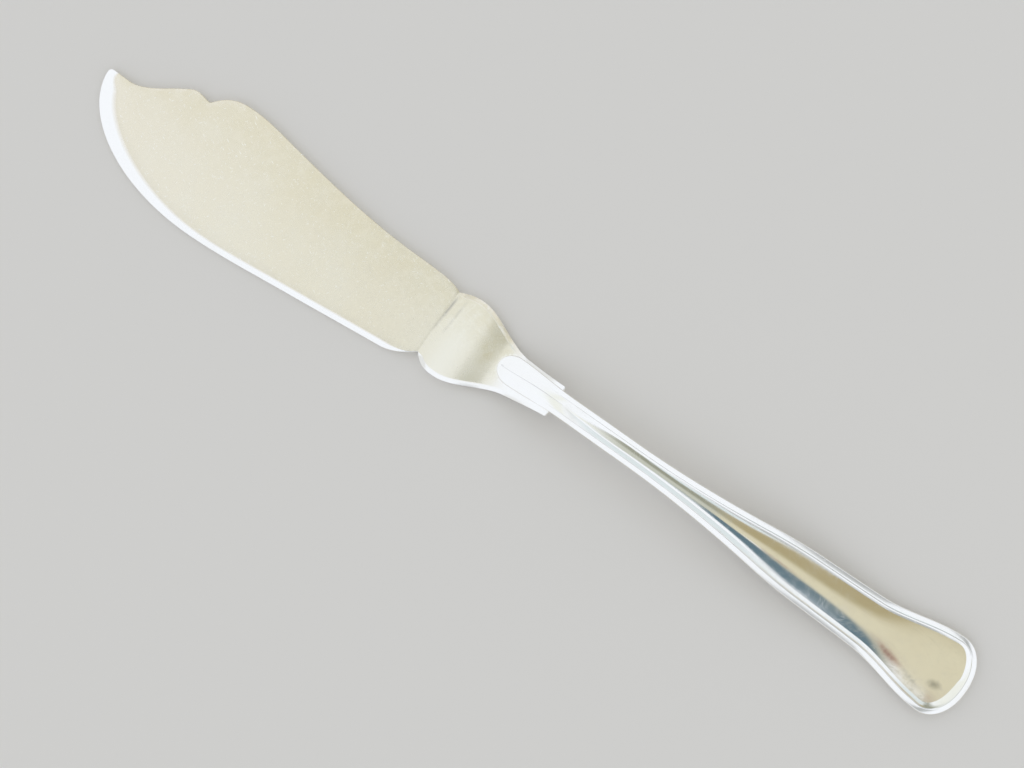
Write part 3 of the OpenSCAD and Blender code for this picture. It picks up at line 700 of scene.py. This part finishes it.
def ribs_of_handle():
    """Ribs as (foot on the rim, head on the middle line), fanned out at the tongue's tip and at the butt."""
    ribs = []
    tongue_head, butt_head = Vector((TONGUE_X + TONGUE_ROUND, 0)), Vector((FAN_X, 0))
    for i in range(FAN_RIBS):
        turn = math.radians(90 * i / FAN_RIBS)
        foot = Vector((TONGUE_X + TONGUE_ROUND * (1 - math.cos(turn)), TONGUE_W / 2 * math.sin(turn)))
        ribs.append((foot, tongue_head))
    for x in (places(TONGUE_X + TONGUE_ROUND, NECK_L, HANDLE_STEP)
              + places(NECK_L, PANEL_X + OPENING_L, OPENING_STEP)
              + places(PANEL_X + OPENING_L, ROUND_X, HANDLE_STEP)):
        ribs.append((Vector((x, along(HALF_WIDTH, x))), Vector((min(x, FAN_X), 0))))
    power = 2 / BUTT_SQUARE
    for i in range(FAN_RIBS + 1):
        turn = math.radians(90 - 90 * i / FAN_RIBS)
        out, aside = max(math.cos(turn), 0) ** power, max(math.sin(turn), 0) ** power
        ribs.append((Vector((ROUND_X + BUTT_ROUND * out, BUTT_W / 2 * aside)), butt_head))
    return ribs


def handle_loops():
    """Loops round the handle, each from the middle of the top round both rims, and their shades."""
    loops, shades = [], []
    for foot, head in ribs_of_handle():
        top, under, shade = {}, {}, {}
        for side in (1, -1):
            half = handle_half(foot, head, side)
            top[side] = [(x, side * y, z + t) for x, y, z, t, shade_and_tarnish in half]
            under[side] = [(x, side * y, z - t) for x, y, z, t, shade_and_tarnish in half]
            shade[side] = [(shade_and_tarnish, 0, 0) for x, y, z, t, shade_and_tarnish in half]
        loops.append(top[1][::-1] + under[1] + under[-1][::-1][1:] + top[-1][:-1])
        shades.append(shade[1][::-1] + shade[1] + shade[-1][::-1][1:] + shade[-1][:-1])
    return loops, shades


def joined(name, first, second):
    """One closed mesh of both objects, with hard lines where the faces meet at a steep angle."""
    cut = first.modifiers.new("join", "BOOLEAN")
    cut.operation = "UNION"
    cut.solver = "MANIFOLD"
    cut.object = second
    graph = bpy.context.evaluated_depsgraph_get()
    both = bpy.data.meshes.new_from_object(first.evaluated_get(graph))
    bm = bmesh.new()
    bm.from_mesh(both)
    for e in bm.edges:
        if e.calc_face_angle(0) > math.radians(HARD_ANGLE):
            e.smooth = False
    for mesh in (first.data, second.data, both):
        bpy.data.meshes.remove(mesh)
    return smooth_object(name, bm)


def knife_piece():
    """The whole knife as one closed mesh."""
    blade = tip_loops() + front_loops() + rear_loops()
    loops = blade + neck_loops()
    shades = plate_shades(loops, len(blade))
    plate = loft("plate", loops, shades, True, lambda row: (INNER_COLUMN,) if row < len(blade) else ())
    return joined("silver_knife", plate, loft("handle", *handle_loops(), False))


knife = knife_piece()
print("silver_knife:", len(knife.data.vertices), "points,", len(knife.data.polygons), "faces")


# Material

# Colours of bare silver, the blade's painted beige reflection, painted warm shade, clouds, grain, painted
# glints, and painted shade, tarnish and marks
SILVER = (0.95, 0.94, 0.90)
BLADE_REFLECTION_TINT = (0.845, 0.785, 0.645)
WARM_SHADE_TINT = (0.76, 0.69, 0.50)
CLOUD_TINT = (0.88, 0.85, 0.75)
GRAIN_TINT = (0.76, 0.72, 0.62)
GLINT_TINT = (0.97, 0.96, 0.92)
SHADE_AND_MARK_TINT = (0.20, 0.20, 0.20)

# How strongly clouds, grain, painted glints and the painted shade, tarnish and marks colour the metal
CLOUD_DEPTH, GRAIN_DEPTH, GLINT_DEPTH, SHADE_AND_MARK_DEPTH = 0.2, 0.06, 0.75, 0.5

# Roughness of polished silver and what a satin finish adds, each with how much it varies, and what
# scratches and the places of painted shade, tarnish and marks add
POLISHED_ROUGH, CLOUD_ROUGH = 0.10, 0.035
SATIN_ROUGH, GRAIN_ROUGH = 0.14, 0.025
SCRATCH_ROUGH, SHADE_AND_MARK_ROUGH = 0.09, 0.3

# Relief of scratches, grain and the soft waves of hand polish, as heights in millimetres
SCRATCH_HEIGHT, GRAIN_HEIGHT, WAVE_HEIGHT = -0.0010, 0.0004, 0.0012

# Noise as (features in a millimetre, detail, roughness)
GRAIN = (1.1, 3.0, 0.7)
MOTTLE = (0.55, 3.0, 0.65)
CLOUD = (0.11, 3.0, 0.6)
PATCH = (0.035, 2.0, 0.5)
# The next noise breaks up the painted shade and tarnish
UNEVEN_SHADE = (0.9, 3.0, 0.65)
WAVE = (0.45, 2.0, 0.5)
BREAKS = (0.35, 1.0, 0.5)
STREAKS = (1.0, 1.0, 0.5)

# How noise becomes a share, as the noise where it begins and ends, and in the first three the shares there
PATCH_SPREAD = (0.3, 0.7, 0.85, 1.0)
MOTTLE_SPREAD = (0.3, 0.6, 0.35, 1.0)
UNEVEN_SHADE_SPREAD = (0.3, 0.62, 0.3, 1.0)
CLOUD_SPREAD = (0.42, 0.75)
CLOUD_ROUGH_SPREAD = (0.3, 0.75)
GRAIN_SPREAD = (0.35, 0.65)
GRAIN_ROUGH_SPREAD = (0.3, 0.7)
GLINT_SPREAD = (0.68, 0.78)
BREAK_SPREAD = (0.5, 0.62)
SPOT_SPREAD = (0.35, 0.6)

# Scratches as (angle in degrees, length, spacing, shift) in millimetres, and how sharp their lines are
SCRATCHES = [(12, 5.0, 0.5, 3.1), (-28, 4.0, 0.6, 17.0), (63, 3.0, 0.7, 41.0), (100, 2.4, 0.6, 77.0)]
SCRATCH_SHARP = 0.03

# Painted glints, short bright streaks in the satin finish, as (angle, length, width, shift)
GLINTS = [(25, 1.1, 0.22, 5.0), (-50, 1.0, 0.20, 29.0), (80, 0.8, 0.18, 53.0)]

# Streaks are shifted across by this share of their shift along, and change this slowly with the height
STREAK_ASIDE, STREAK_UP = 0.37, 0.1

# A surface faces up, and shows the marks below, between these upward parts of its normal
FACING_UP = (0.2, 0.5)

# A hairline along the tongue, from a nick at its tip to where the panel opens, as the places where it starts,
# begins to fade and ends, its places across, the half widths of its core and whole, the length of its
# start and its shares at both ends
HAIR_X, HAIR_Y, HAIR_W = (14.4, 24.0, 29.0), (-0.32, 0.12), (0.02, 0.09)
HAIR_START_L, HAIR_SHARES = 0.5, (0.35, 0.8)

# The nick, and stains on the butt, as (place along and across, half length, half width, angle in degrees,
# features in a millimetre, evenness), and the stains' strength and colour
NICK = (14.6, -0.25, 0.42, 0.252, 0, 3.0, 0.3)
STAINS = [
    ((114.8, -2.4, 2.1, 1.25, 10, 1.2, 0.8), 0.6, (0.25, 0.26, 0.25)),
    ((104.9, -2.75, 4.4, 1.0, -9, 1.2, 0.6), 0.75, (0.60, 0.42, 0.38)),
    ((110.4, -3.95, 4.0, 0.75, -16, 1.2, 0.55), 0.5, (0.55, 0.56, 0.57)),
]


# Sockets of a mix node for colours: the two colours and the result, by their number
FIRST_COLOUR, SECOND_COLOUR, MIXED_COLOUR = 6, 7, 2


class Graph:
    """Short ways to add nodes to a tree. Every input takes a value or the output of another node."""

    def __init__(self, tree):
        self.tree = tree

    def feed(self, socket, value):
        if isinstance(value, bpy.types.NodeSocket):
            self.tree.links.new(value, socket)
        else:
            socket.default_value = value

    def add(self, kind, links=None, **settings):
        made = self.tree.nodes.new(kind)
        for key, value in settings.items():
            setattr(made, key, value)
        for key, value in (links or {}).items():
            self.feed(made.inputs[key], value)
        return made

    def maths(self, kind, a, b=0.0):
        return self.add("ShaderNodeMath", {0: a, 1: b}, operation=kind).outputs[0]

    def most(self, values):
        made = values[0]
        for value in values[1:]:
            made = self.maths("MAXIMUM", made, value)
        return made

    def spread(self, value, lo, hi, out_lo=0.0, out_hi=1.0):
        """Smoothly from out_lo where value is lo to out_hi where it is hi."""
        links = {"Value": value, "From Min": lo, "From Max": hi, "To Min": out_lo, "To Max": out_hi}
        return self.add("ShaderNodeMapRange", links, interpolation_type="SMOOTHSTEP").outputs["Result"]

    def tinted(self, share, below, above):
        """Colour below where share is 0 and above where it is 1."""
        made = self.add("ShaderNodeMix", {0: share}, data_type="RGBA")
        for i, colour in ((FIRST_COLOUR, below), (SECOND_COLOUR, above)):
            self.feed(made.inputs[i], colour if isinstance(colour, bpy.types.NodeSocket) else (*colour, 1))
        return made.outputs[MIXED_COLOUR]

    def vector(self, kind, a, b):
        return self.add("ShaderNodeVectorMath", {0: a, 1: b}, operation=kind).outputs[0]

    def turned(self, vector, degrees):
        links = {"Vector": vector, "Angle": math.radians(degrees)}
        return self.add("ShaderNodeVectorRotate", links, rotation_type="Z_AXIS").outputs[0]


class Metal(Graph):
    """Nodes that know places on the knife in millimetres, and which parts of it face up."""

    def __init__(self, tree):
        super().__init__(tree)
        place = self.add("ShaderNodeTexCoord").outputs["Object"]
        self.mm = self.add("ShaderNodeVectorMath", {0: place, "Scale": 1 / MM}, operation="SCALE").outputs[0]
        normal = self.add("ShaderNodeNewGeometry").outputs["Normal"]
        self.upper = self.spread(self.add("ShaderNodeSeparateXYZ", {0: normal}).outputs[2], *FACING_UP)

    def carried(self, name):
        """A share that the points of the mesh carry."""
        return self.add("ShaderNodeAttribute", attribute_name=name).outputs["Fac"]

    def noise(self, scale, detail=2.0, rough=0.5, vector=None):
        at = self.mm if vector is None else vector
        links = {"Vector": at, "Scale": scale, "Detail": detail, "Roughness": rough}
        return self.add("ShaderNodeTexNoise", links).outputs["Fac"]

    def streaks(self, turn, length, width, shift):
        """Noise in streaks at one angle, about as long and as wide as given in millimetres, and its place."""
        moved = self.vector("ADD", self.turned(self.mm, turn), (shift, STREAK_ASIDE * shift, 0))
        scaled = self.vector("MULTIPLY", moved, (1 / length, 1 / width, STREAK_UP))
        return self.noise(*STREAKS, scaled), moved

    def scratch(self, *how):
        """Fine broken lines along the middle of streaks."""
        streaks, moved = self.streaks(*how)
        off = self.maths("ABSOLUTE", self.maths("SUBTRACT", streaks, 0.5))
        thin = self.spread(off, 0.0, SCRATCH_SHARP, 1.0, 0.0)
        return self.maths("MULTIPLY", thin, self.spread(self.noise(*BREAKS, moved), *BREAK_SPREAD))

    def spot(self, x, y, half_l, half_w, turn, scale, least):
        """Share of an uneven soft spot on the upper side."""
        off = self.turned(self.vector("SUBTRACT", self.mm, (x, y, 0)), -turn)
        flat = self.vector("MULTIPLY", off, (1 / half_l, 1 / half_w, 0))
        far = self.add("ShaderNodeVectorMath", {0: flat}, operation="LENGTH").outputs["Value"]
        uneven = self.spread(self.noise(scale), *SPOT_SPREAD, least, 1.0)
        share = self.maths("MULTIPLY", self.spread(far, 0.0, 1.0, 1.0, 0.0), uneven)
        return self.maths("MULTIPLY", share, self.upper)

    def hairline(self):
        """Share of the dark hairline along the tongue."""
        at = self.add("ShaderNodeSeparateXYZ", {0: self.mm}).outputs
        x, y = at["X"], at["Y"]
        start, fade, end = HAIR_X
        off = self.maths("ABSOLUTE", self.maths("SUBTRACT", y, self.spread(x, start, fade, *HAIR_Y)))
        hair = self.spread(off, *HAIR_W, 1.0, 0.0)
        for share in (
            self.spread(x, start, start + HAIR_START_L),
            self.spread(x, fade, end, 1.0, 0.0),
            self.spread(x, start, fade, *HAIR_SHARES),
            self.upper,
        ):
            hair = self.maths("MULTIPLY", hair, share)
        return hair


def silver():
    """Polished silver with a satin blade in painted beige reflection, painted glints, fine scratches, painted
    warm shade, stains, and painted shade with tarnish in the hollows.
    """
    mat = bpy.data.materials.new("polished_silver")
    mat.use_nodes = True
    metal = Metal(mat.node_tree)
    maths, spread = metal.maths, metal.spread
    satin_and_reflection = metal.carried("satin_and_reflection")
    grain, cloud = metal.noise(*GRAIN), metal.noise(*CLOUD)
    marks = metal.most([metal.scratch(*how) for how in SCRATCHES])
    # Painted glints on the satin finish
    glints = metal.most([spread(metal.streaks(*how)[0], *GLINT_SPREAD) for how in GLINTS])
    # Painted shade in the crease, along the bevel and at the threads' feet, with tarnish in the groove, and
    # the hairline and nick
    shade_and_marks = maths("MULTIPLY", metal.carried("shade_and_tarnish"), spread(metal.noise(*UNEVEN_SHADE), *UNEVEN_SHADE_SPREAD))
    shade_and_marks = metal.most([shade_and_marks, metal.hairline(), metal.spot(*NICK)])

    # Painted warm shade on the back side and in the dip before the tongue
    warm_shade = maths("MULTIPLY", metal.carried("warm_shade"), spread(metal.noise(*MOTTLE), *MOTTLE_SPREAD))
    colour = SILVER
    # The satin share also paints the blade's beige reflection
    for share, tint in (
        (maths("MULTIPLY", satin_and_reflection, spread(metal.noise(*PATCH), *PATCH_SPREAD)), BLADE_REFLECTION_TINT),
        (warm_shade, WARM_SHADE_TINT),
        (maths("MULTIPLY", spread(cloud, *CLOUD_SPREAD), CLOUD_DEPTH), CLOUD_TINT),
        (maths("MULTIPLY", satin_and_reflection, spread(grain, *GRAIN_SPREAD, 0.0, GRAIN_DEPTH)), GRAIN_TINT),
        (maths("MULTIPLY", maths("MULTIPLY", glints, satin_and_reflection), GLINT_DEPTH), GLINT_TINT),
        (maths("MULTIPLY", shade_and_marks, SHADE_AND_MARK_DEPTH), SHADE_AND_MARK_TINT),
    ):
        colour = metal.tinted(share, colour, tint)
    for where, strength, tint in STAINS:
        colour = metal.tinted(maths("MULTIPLY", metal.spot(*where), strength), colour, tint)

    rough = spread(cloud, *CLOUD_ROUGH_SPREAD, POLISHED_ROUGH, POLISHED_ROUGH + CLOUD_ROUGH)
    uneven = spread(grain, *GRAIN_ROUGH_SPREAD, SATIN_ROUGH - GRAIN_ROUGH, SATIN_ROUGH + GRAIN_ROUGH)
    for share, more in ((satin_and_reflection, uneven), (marks, SCRATCH_ROUGH), (shade_and_marks, SHADE_AND_MARK_ROUGH)):
        rough = maths("ADD", rough, maths("MULTIPLY", share, more))

    height = maths("MULTIPLY", marks, SCRATCH_HEIGHT)
    for share, more in ((maths("MULTIPLY", satin_and_reflection, grain), GRAIN_HEIGHT), (metal.noise(*WAVE), WAVE_HEIGHT)):
        height = maths("ADD", height, maths("MULTIPLY", share, more))
    bump = metal.add("ShaderNodeBump", {"Height": height, "Strength": 1.0, "Distance": MM})

    shader = mat.node_tree.nodes["Principled BSDF"]
    shader.inputs["Metallic"].default_value = 1.0
    for name, made in (("Base Color", colour), ("Roughness", rough), ("Normal", bump.outputs[0])):
        metal.tree.links.new(made, shader.inputs[name])
    return mat


knife.data.materials.clear()
knife.data.materials.append(silver())
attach(knife, "root")
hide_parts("knife")


# Floor, whose size is in metres

FLOOR_SIZE, FLOOR_COLOUR, FLOOR_ROUGH = 6, (0.74, 0.71, 0.665, 1), 0.9

bpy.ops.mesh.primitive_plane_add(size=FLOOR_SIZE, location=(0, 0, 0))
floor = bpy.context.object
floor.name = "floor"
paper = bpy.data.materials.new("pale_floor")
paper.use_nodes = True
paper_shader = paper.node_tree.nodes["Principled BSDF"]
paper_shader.inputs["Base Color"].default_value = FLOOR_COLOUR
paper_shader.inputs["Roughness"].default_value = FLOOR_ROUGH
floor.data.materials.append(paper)


# Light

# A bright tent with soft cards overhead, as (angle off the zenith towards +X and towards +Y, half spans,
# widths of the soft borders, all in degrees, and colour), later cards over earlier ones
BRIGHT = (0.97, 1.01, 1.09)
CARDS = [
    (-11, 6, 12, 16, 12, 16, (0.90, 0.93, 0.91)),
    (16, 4, 16.5, 28, 10, 14, (0.56, 0.58, 0.52)),
    (10, 26.5, 9, 12.5, 10, 11, (0.32, 0.33, 0.27)),
    (30, 15.5, 12, 18.5, 9, 7, (0.43, 0.37, 0.22)),
    (27, -6, 11, 16, 6, 10, (0.71, 0.67, 0.51)),
    (24.5, -21, 12.5, 12, 6, 7, (0.12, 0.19, 0.24)),
    (24.5, -6.5, 2, 1.6, 1.5, 1.8, (0.93, 0.95, 1.00)),
    (28.5, -5.2, 2.2, 1.6, 1.5, 1.2, (0.36, 0.24, 0.20)),
    (18, 46, 20, 11, 6, 4, (0.74, 0.82, 0.87)),
]

# Grey cards low in the four corners: angle towards X and Y, half span, soft border, and the colours on the
# butt's and the blade's side
LOW_X, LOW_Y, LOW_HALF, LOW_SOFT = 61, 68, 12, 10
LOW_TINTS = {1: (0.45, 0.47, 0.48), -1: (0.80, 0.82, 0.84)}
CARDS += [
    (side_x * LOW_X, side_y * LOW_Y, LOW_HALF, LOW_HALF, LOW_SOFT, LOW_SOFT, LOW_TINTS[side_x])
    for side_x in (1, -1)
    for side_y in (1, -1)
]


def studio():
    """A world whose colour in each direction is that of the tent or of the last card there."""
    world = bpy.data.worlds.new("studio")
    world.use_nodes = True
    world.node_tree.nodes.clear()
    sky = Graph(world.node_tree)
    way = sky.add("ShaderNodeSeparateXYZ", {0: sky.add("ShaderNodeTexCoord").outputs["Generated"]}).outputs
    towards_x = sky.maths("DEGREES", sky.maths("ARCTAN2", way["X"], way["Z"]))
    towards_y = sky.maths("DEGREES", sky.maths("ARCTAN2", way["Y"], way["Z"]))

    def within(angle, middle, half, soft):
        off = sky.maths("ABSOLUTE", sky.maths("SUBTRACT", angle, middle))
        return sky.spread(off, half + soft / 2, half - soft / 2)

    colour = BRIGHT
    for middle_x, middle_y, half_x, half_y, soft_x, soft_y, tint in CARDS:
        share_x = within(towards_x, middle_x, half_x, soft_x)
        share_y = within(towards_y, middle_y, half_y, soft_y)
        colour = sky.tinted(sky.maths("MULTIPLY", share_x, share_y), colour, tint)
    shine = sky.add("ShaderNodeBackground", {"Color": colour, "Strength": 1.0})
    sky.add("ShaderNodeOutputWorld", {"Surface": shine.outputs[0]})
    return world


bpy.context.scene.world = studio()


# Camera

# The point that it aims at, its distance, its tilt from straight down and the direction of the picture's
# right side. The lens and sensor are in millimetres, and the clip distances in metres.
AIM = Vector((18.02, -2.02, 0.0)) * MM
DISTANCE = 208.8 * MM
TILT = math.radians(0.93)
RIGHT = Vector((0.81646, 0.57741, 0.0)).normalized()
LENS, SENSOR, CLIP_NEAR, CLIP_FAR = 38.67, 36.0, 0.01, 20


def photo_camera():
    """A camera nearly straight above the knife, as in the photo."""
    data = bpy.data.cameras.new("camera")
    data.lens = LENS
    data.sensor_width = SENSOR
    data.clip_start, data.clip_end = CLIP_NEAR, CLIP_FAR
    camera = bpy.data.objects.new("camera", data)
    bpy.context.scene.collection.objects.link(camera)
    back = Vector((RIGHT.y, -RIGHT.x, 0.0)) * math.sin(TILT) + Vector((0, 0, math.cos(TILT)))
    up = back.cross(RIGHT)
    place = AIM + back * DISTANCE
    camera.matrix_world = Matrix((
        (RIGHT.x, up.x, back.x, place.x),
        (RIGHT.y, up.y, back.y, place.y),
        (RIGHT.z, up.z, back.z, place.z),
        (0, 0, 0, 1),
    ))
    return camera


bpy.context.scene.camera = photo_camera()
bpy.context.scene.view_settings.view_transform = "Standard"
